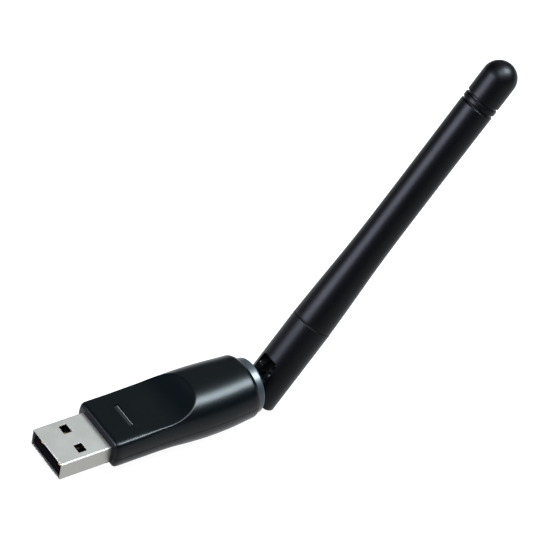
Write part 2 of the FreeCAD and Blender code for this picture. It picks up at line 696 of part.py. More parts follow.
def main():
    """Builds and writes every node."""
    os.makedirs("parts", exist_ok=True)
    upper, lower = make_shells()
    save("upper_shell", upper)
    save("lower_shell", lower)
    save("led_window", make_led_window())
    save("usb_plug_shell", make_plug_shell())
    save("plug_insulator", make_insulator())
    for name, y, start in CONTACTS:
        save(name, make_contact(y, start))
    save("circuit_board", make_board())
    for name, shape in make_board_parts().items():
        save(name, shape)
    save("swivel_base", make_swivel())
    save("coax_board_lead", make_board_lead())
    save("coax_cable", make_cable())
    save("hinge_pin_left", make_hinge_pin(1))
    save("hinge_pin_right", make_hinge_pin(-1))
    save("antenna_fork", lean(make_fork()))
    save("antenna_rod", lean(make_rod_tube()))
    save("antenna_cap", lean(make_cap()))
    save("dipole_sleeve", lean(make_sleeve()))
    save("radiating_wire", lean(make_wire()))
    save("wire_spacer", lean(make_spacer()))


main()
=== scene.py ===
import json
import math

import bmesh
import bpy
from mathutils import Matrix, Vector


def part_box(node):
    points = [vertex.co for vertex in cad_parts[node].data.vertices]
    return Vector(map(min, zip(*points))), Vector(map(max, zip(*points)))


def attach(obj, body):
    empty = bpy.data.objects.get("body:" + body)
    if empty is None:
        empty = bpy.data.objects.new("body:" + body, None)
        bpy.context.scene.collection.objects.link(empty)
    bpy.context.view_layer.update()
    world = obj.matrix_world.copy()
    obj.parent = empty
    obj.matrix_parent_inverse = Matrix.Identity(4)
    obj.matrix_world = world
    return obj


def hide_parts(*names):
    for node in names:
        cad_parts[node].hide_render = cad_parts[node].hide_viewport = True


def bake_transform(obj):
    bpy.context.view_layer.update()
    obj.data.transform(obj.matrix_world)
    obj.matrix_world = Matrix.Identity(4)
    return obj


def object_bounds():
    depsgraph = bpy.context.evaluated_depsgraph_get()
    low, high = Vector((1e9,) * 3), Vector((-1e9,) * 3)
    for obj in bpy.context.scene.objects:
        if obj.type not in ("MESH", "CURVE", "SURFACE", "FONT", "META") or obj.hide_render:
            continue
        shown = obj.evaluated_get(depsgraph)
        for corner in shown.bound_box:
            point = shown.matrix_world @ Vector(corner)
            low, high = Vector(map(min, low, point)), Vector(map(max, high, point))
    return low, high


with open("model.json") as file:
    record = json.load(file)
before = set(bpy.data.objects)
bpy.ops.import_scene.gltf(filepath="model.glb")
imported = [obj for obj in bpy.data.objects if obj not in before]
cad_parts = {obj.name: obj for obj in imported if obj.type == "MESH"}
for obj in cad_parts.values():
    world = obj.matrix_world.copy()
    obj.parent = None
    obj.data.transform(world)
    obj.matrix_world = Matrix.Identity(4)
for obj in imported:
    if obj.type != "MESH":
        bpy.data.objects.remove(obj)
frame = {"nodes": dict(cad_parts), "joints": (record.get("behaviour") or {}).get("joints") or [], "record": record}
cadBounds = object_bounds()
nodes = frame["nodes"]
mm = 0.001

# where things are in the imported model
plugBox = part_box("usb_plug_shell")
swivelJoint = next(j for j in frame["joints"] if j["name"] == "swivel")
tiltJoint = next(j for j in frame["joints"] if j["name"] == "tilt")
axisZ = swivelJoint["pos_m"][2] / mm
hingeX = tiltJoint["pos_m"][0] / mm
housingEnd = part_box("upper_shell")[1].x / mm
rodTilt = 57.0        # degrees that the rod leans up from the housing's axis at rest


# the housing's form, in millimetres
housing = {
    # along, half width, height, depth, roundness above, roundness below
    "stations": [
        (0.0, 7.3, 6.0, 5.4, 3.0, 2.2), (0.35, 7.75, 6.4, 5.8, 2.9, 2.15),
        (1.2, 8.0, 6.65, 6.0, 2.8, 2.1), (3.5, 8.0, 6.7, 6.05, 2.8, 2.1),
        (8.0, 8.0, 6.8, 6.15, 2.75, 2.1), (13.0, 8.0, 6.9, 6.3, 2.65, 2.1),
        (19.0, 8.15, 7.0, 6.55, 2.55, 2.15), (25.0, 8.3, 7.05, 6.8, 2.45, 2.25),
        (31.0, 8.15, 6.95, 6.95, 2.35, 2.2), (35.0, 7.85, 6.85, 7.0, 2.3, 2.1),
        (36.7, 7.66, 6.8, 7.0, 2.35, 2.1), (37.1, 7.62, 6.76, 7.0, 2.35, 2.1),
        (37.9, 7.45, 6.3, 6.92, 2.2, 2.1),
    ],
    "noseTop": 4.1, "noseBottom": 2.85, "crestTop": 7.0, "crestBottom": 6.65,
    "scoopStart": 13.8, "scoopEnd": 22.6, "frontEdge": 1.0,
    "ridge": (17, 95), "ridgeFrom": (7, 20), "ridgeBottom": 30,   # higher is crisper; where it sharpens
    "plugHole": (6.05, 2.3), "holeSquareness": 16, "boreRadius": 4.66,
    "seamGap": 0.07, "wall": 0.9, "easing": 0.09,
    "slot": (6.45, 0.6, 3.4),   # along, half width, half length
    "around": 240, "rows": [(1.0, 0.3, 61), (19.2, 0.12, 38), (24.0, 0.4, 33)],   # start, step, how many
    "rowGap": 0.05,
}


class Value:
    # a node socket that can be added to and multiplied
    def __init__(self, shader, socket):
        self.shader = shader
        self.socket = socket

    def maths(self, operation, first, second):
        return self.shader.node("ShaderNodeMath", {"operation": operation}, {0: first, 1: second})

    def __add__(self, other):
        return self.maths("ADD", self, other)

    def __radd__(self, other):
        return self.maths("ADD", other, self)

    def __mul__(self, other):
        return self.maths("MULTIPLY", self, other)

    def __rmul__(self, other):
        return self.maths("MULTIPLY", other, self)


class Shader:
    # one material's node tree, with its Principled node ready
    def __init__(self, name, colour, roughness, **fixed):
        self.material = bpy.data.materials.new(name)
        self.material.use_nodes = True
        self.tree = self.material.node_tree
        self.surface = next(n for n in self.tree.nodes if n.type == "BSDF_PRINCIPLED")
        self.surface.inputs["Base Color"].default_value = (*colour, 1)
        self.surface.inputs["Roughness"].default_value = roughness
        for socketName, value in fixed.items():
            self.surface.inputs[socketName.replace("_", " ")].default_value = value
        self.material.diffuse_color = (*colour, 1)
        self.place = self.node("ShaderNodeTexCoord", {}, {}, "Object")

    def node(self, kind, settings, inputs, output=0):
        made = self.tree.nodes.new(kind)
        for key, setting in settings.items():
            setattr(made, key, setting)
        for key, value in inputs.items():
            if isinstance(value, Value):
                self.tree.links.new(value.socket, made.inputs[key])
            else:
                made.inputs[key].default_value = value
        return Value(self, made.outputs[output])

    def grain(self, sizeMm, detail=2.0, stretch=(1, 1, 1)):
        # soft noise whose spots are about sizeMm across, from 0 to 1
        turned = self.node("ShaderNodeMapping", {}, {"Vector": self.place, "Scale": stretch})
        scale = 1 / (sizeMm * mm)
        return self.node("ShaderNodeTexNoise", {}, {"Vector": turned, "Scale": scale, "Detail": detail})

    def mix(self, share, first, second):
        # colour between two others
        settings = {"data_type": "RGBA"}
        return self.node("ShaderNodeMix", settings, {0: share, 6: (*first, 1), 7: (*second, 1)}, 2)

    def feed(self, socketName, value):
        self.tree.links.new(value.socket, self.surface.inputs[socketName])

    def bump(self, height, depthMm, strength=1.0):
        settings = {"Height": height, "Strength": strength, "Distance": depthMm * mm}
        self.feed("Normal", self.node("ShaderNodeBump", {}, settings, "Normal"))


finish = {
    "housing": {"colour": (0.0002, 0.0006, 0.0008), "roughness": 0.32, "shine": 0.09, "sparkMm": 0.22},
    # collar: the same black plastic as the housing, rougher; its lighter base colour is painted sheen standing in
    # for the band's broad highlight
    "collar": {"colour": (0.0070, 0.0098, 0.0115), "roughness": 0.36, "shine": 0.30, "sparkMm": 0.3},
    "eye": {"colour": (0.0012, 0.0015, 0.0017), "roughness": 0.30, "shine": 0.15, "sparkMm": 0.3},
    "rod": {"colour": (0.0001, 0.0001, 0.0003), "roughness": 0.39, "shine": 0.08, "sparkMm": 0.2},
    "steel": {"colour": (0.258, 0.244, 0.221), "roughness": 0.46, "brushMm": 0.18},
}


def mouldedPlastic(name, values):
    # fine spark-eroded grain, with soft patches where the gloss changes a little
    shader = Shader(name, values["colour"], values["roughness"], Specular_IOR_Level=values["shine"])
    patches = shader.grain(6.0, 3.0)
    grain = shader.grain(values["sparkMm"], 2.0)
    shader.feed("Roughness", values["roughness"] - 0.03 + patches * 0.04 + grain * 0.03)
    darker = tuple(c * 0.86 for c in values["colour"])
    lighter = tuple(c * 1.14 for c in values["colour"])
    shader.feed("Base Color", shader.mix(patches, darker, lighter))
    shader.bump(grain, 0.004, 0.5)
    return shader.material


def platedSteel(name, values):
    # satin plating over rolled sheet: faint lines along the plug and clouded gloss
    shader = Shader(name, values["colour"], values["roughness"], Metallic=1.0)
    lines = shader.grain(values["brushMm"], 3.0, (0.08, 1, 1))
    clouds = shader.grain(3.5, 3.0)
    shader.feed("Roughness", values["roughness"] - 0.04 + clouds * 0.06 + lines * 0.04)
    darker = tuple(c * 0.95 for c in values["colour"])
    shader.feed("Base Color", shader.mix(lines * 0.4 + clouds * 0.4, darker, values["colour"]))
    shader.bump(lines, 0.002, 0.4)
    return shader.material


def cloudy(name, colour, roughness, spotMm=0.8, spread=0.12, **fixed):
    # plain finish for small parts, a little uneven in colour and gloss
    shader = Shader(name, colour, roughness, **fixed)
    spots = shader.grain(spotMm, 3.0)
    darker = tuple(c * (1 - spread) for c in colour)
    lighter = tuple(min(1.0, c * (1 + spread)) for c in colour)
    shader.feed("Base Color", shader.mix(spots, darker, lighter))
    shader.feed("Roughness", roughness - 0.04 + spots * 0.08)
    shader.bump(spots, 0.01, 0.2)
    return shader.material


def smokedPipe(name):
    # smoked clear plastic with a painted highlight: its base colour turns lighter in a stripe along the rear edge
    # dark is the smoked plastic's own colour; light is the colour of the painted highlight
    dark, light = (0.004, 0.0045, 0.0045), (0.10, 0.105, 0.10)
    shader = Shader(name, dark, 0.3, Specular_IOR_Level=0.12)
    across = shader.node("ShaderNodeSeparateXYZ", {}, {"Vector": shader.place}, "X")
    edge = housing["slot"][0] + housing["slot"][1] - 0.32
    # painted highlight: this mask lightens the base colour near the rear edge, ramping up over 0.2 mm
    paintedHighlightMask = shader.node("ShaderNodeMapRange", {"interpolation_type": "SMOOTHSTEP"}, {
        "Value": across, "From Min": edge * mm, "From Max": (edge + 0.2) * mm
    })
    haze = shader.grain(0.4, 3.0)
    shader.feed("Base Color", shader.mix(paintedHighlightMask * (0.75 + haze * 0.25), dark, light))
    shader.feed("Roughness", 0.26 + haze * 0.1)
    shader.bump(haze, 0.01, 0.2)
    return shader.material


def boardMaterial(name):
    # solder mask with copper tracks showing through as a slightly lighter green
    shader = Shader(name, (0.012, 0.11, 0.05), 0.35, IOR=1.5)
    cells = shader.node(
        "ShaderNodeTexBrick", {"offset": 0.5},
        {"Vector": shader.place, "Scale": 1.0, "Brick Width": 2.1 * mm, "Row Height": 0.55 * mm,
         "Mortar Size": 0.11 * mm, "Mortar Smooth": 0.1}, "Fac",
    )
    shader.feed("Base Color", shader.mix(cells, (0.010, 0.085, 0.038), (0.02, 0.17, 0.075)))
    shader.feed("Roughness", 0.32 + shader.grain(1.5) * 0.1)
    shader.bump(cells, 0.02, 0.3)
    return shader.material


def makeMaterials():
    made = {
        "housing_plastic": mouldedPlastic("housingPlastic", finish["housing"]),
        "collar": mouldedPlastic("collarPlastic", finish["collar"]),
        "eye": mouldedPlastic("eyePlastic", finish["eye"]),
        "antenna_plastic": mouldedPlastic("rodPlastic", finish["rod"]),
        "plug_steel": platedSteel("platedSteel", finish["steel"]),
        "insulator_plastic": cloudy(
            "insulatorPlastic", (0.0008, 0.0008, 0.001), 0.7, 0.5, Specular_IOR_Level=0.01
        ),
        "contact_gold": cloudy("contactGold", (0.42, 0.29, 0.12), 0.4, 0.3, 0.06, Metallic=1.0),
        "board_green": boardMaterial("boardGreen"),
        "chip_black": cloudy("chipBlack", (0.02, 0.02, 0.022), 0.5, 0.15),
        "crystal_can": cloudy("crystalCan", (0.72, 0.71, 0.68), 0.28, 0.4, 0.06, Metallic=1.0),
        "ferrite": cloudy("ferrite", (0.08, 0.08, 0.085), 0.6, 0.12),
        "ceramic_tan": cloudy("ceramicTan", (0.45, 0.31, 0.18), 0.45, 0.2),
        "led_white": cloudy("ledWhite", (0.8, 0.8, 0.72), 0.4, 0.3, 0.05),
        "light_pipe": smokedPipe("smokedPipe"),
        "cable_jacket": cloudy("cableJacket", (0.02, 0.02, 0.022), 0.4, 0.3),
        "pin_steel": cloudy("pinSteel", (0.6, 0.59, 0.57), 0.25, 0.2, 0.06, Metallic=1.0),
        "sleeve_brass": cloudy("sleeveBrass", (0.75, 0.55, 0.25), 0.3, 1.0, 0.08, Metallic=1.0),
        "wire_copper": cloudy("wireCopper", (0.72, 0.38, 0.24), 0.3, 0.4, 0.08, Metallic=1.0),
        "spacer_foam": cloudy("spacerFoam", (0.7, 0.7, 0.66), 0.9, 0.25, 0.1),
    }
    slotOf = {s["node"]: s["material_slot"] for s in frame["record"]["subparts"]}
    for nodeName, node in nodes.items():
        node.data.materials.clear()
        node.data.materials.append(made[slotOf[nodeName]])
    print("materials:", len(made))
    return made


materials = makeMaterials()


def newObject(name, bm, materialName):
    # sizes are worked in millimetres and become metres here
    bmesh.ops.scale(bm, vec=(mm, mm, mm), verts=bm.verts)
    mesh = bpy.data.meshes.new(name)
    bm.to_mesh(mesh)
    bm.free()
    mesh.materials.append(materials[materialName])
    piece = bpy.data.objects.new(name, mesh)
    bpy.context.scene.collection.objects.link(piece)
    return piece


def workIn(piece):
    graph = bpy.context.evaluated_depsgraph_get()
    finished = bpy.data.meshes.new_from_object(piece.evaluated_get(graph))
    piece.modifiers.clear()
    piece.data = finished


def settle(piece, sharpDegrees=32):
    # works the modifiers into the mesh and shades it smooth, with flats kept flat and edges crisp
    workIn(piece)
    piece.data.polygons.foreach_set("use_smooth", [True] * len(piece.data.polygons))
    piece.data.set_sharp_from_angle(angle=math.radians(sharpDegrees))
    weighted = piece.modifiers.new("normals", "WEIGHTED_NORMAL")
    weighted.keep_sharp = True
    weighted.weight = 90
    workIn(piece)


def install(piece, body, slotName, *replaced):
    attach(piece, body)
    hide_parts(*replaced)
    print(f"{piece.name}: {len(piece.data.polygons)} faces for {', '.join(replaced)}")


def addBevel(piece, widthMm, segments=2, degrees=35):
    bevel = piece.modifiers.new("edges", "BEVEL")
    bevel.width = widthMm * mm
    bevel.segments = segments
    bevel.limit_method = "ANGLE"
    bevel.angle_limit = math.radians(degrees)
    bevel.use_clamp_overlap = True
    bevel.miter_outer = "MITER_ARC"


def cutBy(piece, cutter):
    # takes the cutter's shape out of the piece, and the cutter away
    cut = piece.modifiers.new("cut", "BOOLEAN")
    cut.operation = "DIFFERENCE"
    cut.solver = "EXACT"
    cut.object = cutter
    settle(piece)
    bpy.data.objects.remove(cutter)


def turned(outline, steps=144):
    # bmesh of an outline of (along, radius) points spun about the swivel's axis
    bm = bmesh.new()
    points = [bm.verts.new((along, 0, axisZ + radius)) for along, radius in outline]
    edges = [bm.edges.new(pair) for pair in zip(points, points[1:])]
    bmesh.ops.spin(
        bm, geom=points + edges, cent=(0, 0, axisZ), axis=(1, 0, 0), dvec=(0, 0, 0),
        angle=2 * math.pi, steps=steps, use_merge=True,
    )
    bmesh.ops.remove_doubles(bm, verts=bm.verts, dist=0.0005)
    bmesh.ops.recalc_face_normals(bm, faces=bm.faces)
    return bm


def corner(centre, radius, start, end, steps=6):
    # points of an arc between two angles in degrees
    return [
        (centre[0] + radius * math.cos(math.radians(start + (end - start) * k / steps)),
         centre[1] + radius * math.sin(math.radians(start + (end - start) * k / steps)))
        for k in range(steps + 1)
    ]


def boxMesh(low, high):
    bm = bmesh.new()
    bmesh.ops.create_cube(bm, size=1)
    low, high = Vector(low), Vector(high)
    bmesh.ops.scale(bm, vec=high - low, verts=bm.verts)
    bmesh.ops.translate(bm, vec=(high + low) / 2, verts=bm.verts)
    return bm


def roundBar(radius, halfLong, segments=96):
    # bar along the hinge's axis
    bm = bmesh.new()
    across = Matrix.Translation((hingeX, 0, axisZ)) @ Matrix.Rotation(math.pi / 2, 4, "X")
    bmesh.ops.create_cone(
        bm, cap_ends=True, segments=segments, radius1=radius, radius2=radius, depth=2 * halfLong,
        matrix=across,
    )
    return bm


def leanRod(bm, unit=1):
    # turns what was built along the housing's axis up to the rod's own angle
    pivot = Vector((hingeX, 0, axisZ)) * unit
    turn = Matrix.Rotation(math.radians(-rodTilt), 3, "Y")
    bmesh.ops.rotate(bm, cent=pivot, matrix=turn, verts=bm.verts)


def stationAt(x):
    # smooth values between the stations
    table = housing["stations"]
    k = max(i for i in range(len(table) - 1) if table[i][0] <= x + 1e-9)
    before, low, high = table[max(k - 1, 0)], table[k], table[k + 1]
    after = table[min(k + 2, len(table) - 1)]
    span = high[0] - low[0]
    t = (x - low[0]) / span
    values = []
    for i in range(1, 6):
        lowSlope = (high[i] - before[i]) / (high[0] - before[0]) * span
        highSlope = (after[i] - low[i]) / (after[0] - low[0]) * span
        values.append(
            (2 * t ** 3 - 3 * t ** 2 + 1) * low[i] + (t ** 3 - 2 * t ** 2 + t) * lowSlope
            + (3 * t ** 2 - 2 * t ** 3) * high[i] + (t ** 3 - t ** 2) * highSlope
        )
    return values


def flatHeight(x, flat, crest):
    # height of the flat, its rounded front edge, or the scoop that rises from it
    edge, start, end = housing["frontEdge"], housing["scoopStart"], housing["scoopEnd"]
    if x < edge:
        return flat - edge + math.sqrt(max(0.0, edge ** 2 - (edge - x) ** 2))
    if x <= start:
        return flat
    run, rise = end - start, crest - flat
    radius = (run ** 2 + rise ** 2) / (2 * rise)
    reach = min(x - start, radius)
    return flat + radius - math.sqrt(radius ** 2 - reach ** 2)


def topCrispness(x):
    # the top ridges are softly rounded at the plug end and sharpen towards the scoop
    soft, crisp = housing["ridge"]
    start, end = housing["ridgeFrom"]
    t = min(max((x - start) / (end - start), 0), 1)
    return soft + (crisp - soft) * t * t * (3 - 2 * t)


def outerRadius(x, angle):
    # distance from the plug's middle line to the housing's surface
    halfWidth, top, bottom, roundTop, roundBottom = stationAt(x)
    c, s = abs(math.cos(angle)), abs(math.sin(angle))
    above = math.sin(angle) >= 0
    height, roundness = (top, roundTop) if above else (bottom, roundBottom)
    barrel = ((c / halfWidth) ** roundness + (s / height) ** roundness) ** (-1 / roundness)
    nose, crest = ("noseTop", "crestTop") if above else ("noseBottom", "crestBottom")
    limit = flatHeight(x, housing[nose], housing[crest])
    crispness = topCrispness(x) if above else housing["ridgeBottom"]
    if x < 1.2:
        crispness = min(crispness, 30)   # softer where the nose rounds over
    flat = limit / max(s, 1e-6)
    return barrel * (1 + (barrel / flat) ** crispness) ** (-1 / crispness)


def holeRadius(angle):
    # a rounded rectangle, the squarer the higher the power
    halfWide, halfHigh = housing["plugHole"]
    power = housing["holeSquareness"]
    c, s = abs(math.cos(angle)), abs(math.sin(angle))
    return ((c / halfWide) ** power + (s / halfHigh) ** power) ** (-1 / power)


def boreRadius(angle):
    # the swivel's bore is a circle about the swivel's axis, a little below the plug's middle line
    s, c = math.sin(angle), math.cos(angle)
    return axisZ * s + math.sqrt(housing["boreRadius"] ** 2 - (axisZ * c) ** 2)


def shellRows():
    # each row is (along, share of the way from the opening's edge to the outer surface)
    slotX, slotHalf, _ = housing["slot"]
    inside = {0.0, slotX - slotHalf, slotX + slotHalf, housingEnd}
    inside.update(1 - math.cos(math.radians(a)) for a in range(10, 91, 10))
    for start, step, count in housing["rows"]:
        inside.update(start + step * k for k in range(count))
    inside.update(housingEnd - 0.08 * k * k for k in range(1, 4))
    along = sorted(x for x in inside if x <= housingEnd)
    kept = [along[0]]
    for x in along[1:]:
        fixed = min(abs(x - slotX - slotHalf), abs(x - slotX + slotHalf), abs(x - housingEnd)) < 1e-9
        if fixed and x - kept[-1] < housing["rowGap"]:
            kept[-1] = x
        elif x - kept[-1] >= housing["rowGap"]:
            kept.append(x)
    front = [(0.0, 0.0, holeRadius), (0.0, 0.5, holeRadius)]
    back = [(housingEnd, 0.5, boreRadius), (housingEnd, 0.0, boreRadius)]
    return front + [(x, 1.0, holeRadius) for x in kept] + back


def makeShell(name, side, replaced):
    rows = shellRows()
    bm = bmesh.new()
    bmesh.ops.create_grid(bm, x_segments=len(rows) - 1, y_segments=housing["around"], size=1)
    for vert in bm.verts:
        x, share, opening = rows[round((vert.co.x + 1) / 2 * (len(rows) - 1))]
        angle = side * math.pi * (vert.co.y + 1) / 2
        inner = opening(angle) if share < 1 else 0.0
        radius = inner + (outerRadius(x, angle) - inner) * share
        z = radius * math.sin(angle)
        vert.co = (x, radius * math.cos(angle), side * max(side * z, housing["seamGap"]))
    if side > 0:
        slotX, slotHalf, slotWide = housing["slot"]
        opened = [
            f for f in bm.faces
            if abs(f.calc_center_median().x - slotX) < slotHalf
            and abs(f.calc_center_median().y) < slotWide and f.calc_center_median().z > 3
        ]
        bmesh.ops.delete(bm, geom=opened, context="FACES")
    bmesh.ops.recalc_face_normals(bm, faces=bm.faces)
    top = max(bm.faces, key=lambda f: side * f.calc_center_median().z)
    if top.normal.z * side < 0:
        bmesh.ops.reverse_faces(bm, faces=bm.faces)
    piece = newObject(name, bm, "housing_plastic")
    wall = piece.modifiers.new("wall", "SOLIDIFY")
    wall.thickness = housing["wall"] * mm
    wall.offset = -1
    addBevel(piece, housing["easing"], 2, 50)
    settle(piece, 38)
    install(piece, "housing", "housing_plastic", replaced)


makeShell("upperHousing", 1, "upper_shell")
makeShell("lowerHousing", -1, "lower_shell")


lightPipe = {"recess": 0.28, "clearance": 0.05, "foot": 2.6, "easing": 0.12}


def makeLightPipe():
    slotX, slotHalf, slotWide = housing["slot"]
    gap = lightPipe["clearance"]
    top = housing["noseTop"] - lightPipe["recess"]
    low = (slotX - slotHalf + gap, -slotWide + gap, lightPipe["foot"])
    piece = newObject("lightPipe", boxMesh(low, (slotX + slotHalf - gap, slotWide - gap, top)), "light_pipe")
    addBevel(piece, lightPipe["easing"], 3)
    settle(piece)
    install(piece, "housing", "light_pipe", "led_window")


makeLightPipe()


plug = {
    "width": 12.0, "height": 4.5, "corner": 0.35, "sheet": 0.3, "inHousing": 6.3, "easing": 0.06,
    "window": (2.0, 2.5), "windowFromTip": 6.3, "windowOffset": 3.1, "seamHalf": 0.04,
}


def makePlug():
    # folded sheet with two latch windows and the fold's seam along the underside
    tip, end = plugBox[0].x / mm, plug["inHousing"]
    halfWide, halfHigh = plug["width"] / 2, plug["height"] / 2
    bm = boxMesh((tip, -halfWide, -halfHigh), (end, halfWide, halfHigh))
    ends = [f for f in bm.faces if abs(f.normal.x) > 0.9]
    bmesh.ops.delete(bm, geom=ends, context="FACES_ONLY")
    long = [e for e in bm.edges if abs((e.verts[0].co - e.verts[1].co).x) > 1]
    bmesh.ops.bevel(
        bm, geom=long, offset=plug["corner"], offset_type="OFFSET", segments=3, profile=0.5,
        affect="EDGES", material=-1, clamp_overlap=True,
    )
    bmesh.ops.recalc_face_normals(bm, faces=bm.faces)
    piece = newObject("plugShell", bm, "plug_steel")
    wall = piece.modifiers.new("sheet", "SOLIDIFY")
    wall.thickness = plug["sheet"] * mm
    wall.offset = -1
    settle(piece)
    long, wide = plug["window"]
    x = tip + plug["windowFromTip"]
    for side in (-1, 1):
        y = side * plug["windowOffset"]
        window = boxMesh((x - long / 2, y - wide / 2, -4), (x + long / 2, y + wide / 2, 4))
        cutBy(piece, newObject("window", window, "plug_steel"))
    seam = boxMesh((tip - 1, -plug["seamHalf"], -3), (end + 1, plug["seamHalf"], -halfHigh + 0.5))
    cutBy(piece, newObject("seam", seam, "plug_steel"))
    addBevel(piece, plug["easing"], 3, 40)
    settle(piece, 20)
    install(piece, "housing", "plug_steel", "usb_plug_shell")


makePlug()


swivel = {
    "keeperRadius": 5.2, "keeperLength": 1.0, "journalRadius": 4.6, "endWall": 1.6, "gap": 0.05,
    "collarRadius": 6.5, "collarLength": 2.2, "collarEdge": (0.15, 0.4), "tunnel": 1.0,
    "neckHalfHigh": 2.3, "eyeRadius": 4.2, "halfThick": 2.4, "pinHole": 0.95, "easing": 0.28,
    "cableGap": 1.0, "gapStart": 3.2, "through": 8,   # the gap starts this far before the hinge
}


def makeCollar():
    # keeper flange, journal and outer collar in one turned piece with the cable's tunnel through it
    sw = swivel
    keeperEnd = housingEnd - sw["endWall"] - sw["gap"]
    start, end, radius = housingEnd + sw["gap"], housingEnd + sw["collarLength"], sw["collarRadius"]
    front, back = sw["collarEdge"]
    outline = [
        (keeperEnd - sw["keeperLength"], sw["tunnel"]), (keeperEnd - sw["keeperLength"], sw["keeperRadius"]),
        (keeperEnd, sw["keeperRadius"]), (keeperEnd, sw["journalRadius"]), (start, sw["journalRadius"]),
    ]
    outline += corner((start + front, radius - front), front, 180, 90)
    outline += corner((end - back, radius - back), back, 90, 0)
    outline += [(end, sw["tunnel"]), outline[0]]
    piece = newObject("swivelCollar", turned(outline), "collar")
    settle(piece, 40)
    install(piece, "swivel", "housing_plastic", "swivel_base")


def makeHingeEye():
    # neck and two-eared eye that the rod tilts on
    sw = swivel
    start, half, high = housingEnd + sw["collarLength"], sw["halfThick"], sw["neckHalfHigh"]
    neck = boxMesh((start - 0.3, -half, axisZ - high), (hingeX, half, axisZ + high))
    piece = newObject("hingeEye", neck, "eye")
    eye = newObject("eye", roundBar(sw["eyeRadius"], half), "eye")
    joined = piece.modifiers.new("eye", "BOOLEAN")
    joined.operation = "UNION"
    joined.object = eye
    settle(piece)
    bpy.data.objects.remove(eye)
    cable, through = sw["cableGap"], sw["through"]
    low, high = (hingeX - sw["gapStart"], -cable, -through), (hingeX + 6, cable, through)
    cutBy(piece, newObject("room", boxMesh(low, high), "eye"))
    cutBy(piece, newObject("hole", roundBar(sw["pinHole"], half + 1), "eye"))
    tunnel = bmesh.new()
    along = Matrix.Translation((hingeX - 3, 0, axisZ)) @ Matrix.Rotation(math.pi / 2, 4, "Y")
    bmesh.ops.create_cone(
        tunnel, cap_ends=True, segments=32, radius1=sw["tunnel"], radius2=sw["tunnel"], depth=through,
        matrix=along,
    )
    cutBy(piece, newObject("tunnel", tunnel, "eye"))
    addBevel(piece, sw["easing"], 3, 40)
    settle(piece, 45)
    install(piece, "swivel", "housing_plastic", "swivel_base")


makeCollar()
makeHingeEye()


rod = {
    "foot": -5.75, "baseRadius": 4.83, "seam": 16.1, "footEdge": 0.2, "topEdge": 0.12, "easing": 0.16,
    "slot": (2.5, 4.8, 1.0),   # half width, end beyond the hinge, corner
    "taper": [(20, 4.69), (24, 4.57), (28, 4.41), (32, 4.25), (36, 4.13), (40, 4.06), (44, 4.02), (52, 4.0),
              (64, 4.0), (72, 4.02)],
    "tipRadius": 4.04, "tip": 88.8, "grooves": (77.1, 78.85), "grooveHalf": 0.28, "grooveDeep": 0.42,
    "mouth": (3.9, 21.4), "bore": 3.1,   # radius of the foot's socket and where it ends
    "spigot": (3.0, 4.2),                # radius and length of the cap's end inside the rod
}


def makeFork():
    foot, radius, edge = hingeX + rod["foot"], rod["baseRadius"], rod["footEdge"]
    top = hingeX + rod["seam"]
    outline = [(foot, 0)] + corner((foot + edge, radius - edge), edge, 180, 90)
    topEdge = rod["topEdge"]
    outline += corner((top - topEdge, radius - topEdge), topEdge, 90, 0, 3) + [(top, 0)]
    piece = newObject("antennaFork", turned(outline, 96), "antenna_plastic")
    settle(piece)

    half, slotEnd, slotCorner = rod["slot"]
    slot = boxMesh((foot - 3, -half, axisZ - 8), (hingeX + slotEnd, half, axisZ + 8))
    uprights = [
        e for e in slot.edges
        if abs((e.verts[0].co - e.verts[1].co).z) > 1 and e.verts[0].co.x > hingeX
    ]
    bmesh.ops.bevel(
        slot, geom=uprights, offset=slotCorner, offset_type="OFFSET", segments=8, profile=0.5,
        affect="EDGES", material=-1,
    )
    cutBy(piece, newObject("slot", slot, "antenna_plastic"))

    # the upper heel follows an arc about the hinge
    swing = roundBar(-rod["foot"], 7)
    heel = newObject("heel", boxMesh((foot - 2, -6, axisZ), (hingeX, 6, axisZ + 8)), "antenna_plastic")
    cutBy(heel, newObject("swing", swing, "antenna_plastic"))
    cutBy(piece, heel)
    addBevel(piece, rod["easing"], 3, 32)
    settle(piece, 34)
    bm = bmesh.new()
    bm.from_mesh(piece.data)
    leanRod(bm, mm)
    bm.to_mesh(piece.data)
    bm.free()
    piece.data.set_sharp_from_angle(angle=math.radians(34))
    install(piece, "antenna", "antenna_plastic", "antenna_fork")


def groove(centre, radius):
    # half-round groove between two softened shoulders
    half, deep = rod["grooveHalf"], rod["grooveDeep"]
    points = [(centre - half - 0.2, radius), (centre - half - 0.06, radius - 0.03)]
    points += [
        (centre - half * math.cos(math.radians(a)), radius - 0.08 - (deep - 0.08) * math.sin(math.radians(a)))
        for a in range(0, 181, 20)
    ]
    return points + [(centre + half + 0.06, radius - 0.03), (centre + half + 0.2, radius)]


def smoothTaper():
    # radii up the rod, eased between the stations
    stations = [(rod["seam"] + 0.05, rod["baseRadius"] - 0.03)] + rod["taper"]
    fine = []
    for (x0, r0), (x1, r1) in zip(stations, stations[1:]):
        fine += [(x0 + (x1 - x0) * k / 4, r0 + (r1 - r0) * k / 4) for k in range(4)]
    fine.append(stations[-1])
    for _ in range(6):
        inner = [(b[0], (a[1] + 2 * b[1] + c[1]) / 4) for a, b, c in zip(fine, fine[1:], fine[2:])]
        fine = [fine[0]] + inner + [fine[-1]]
    return fine


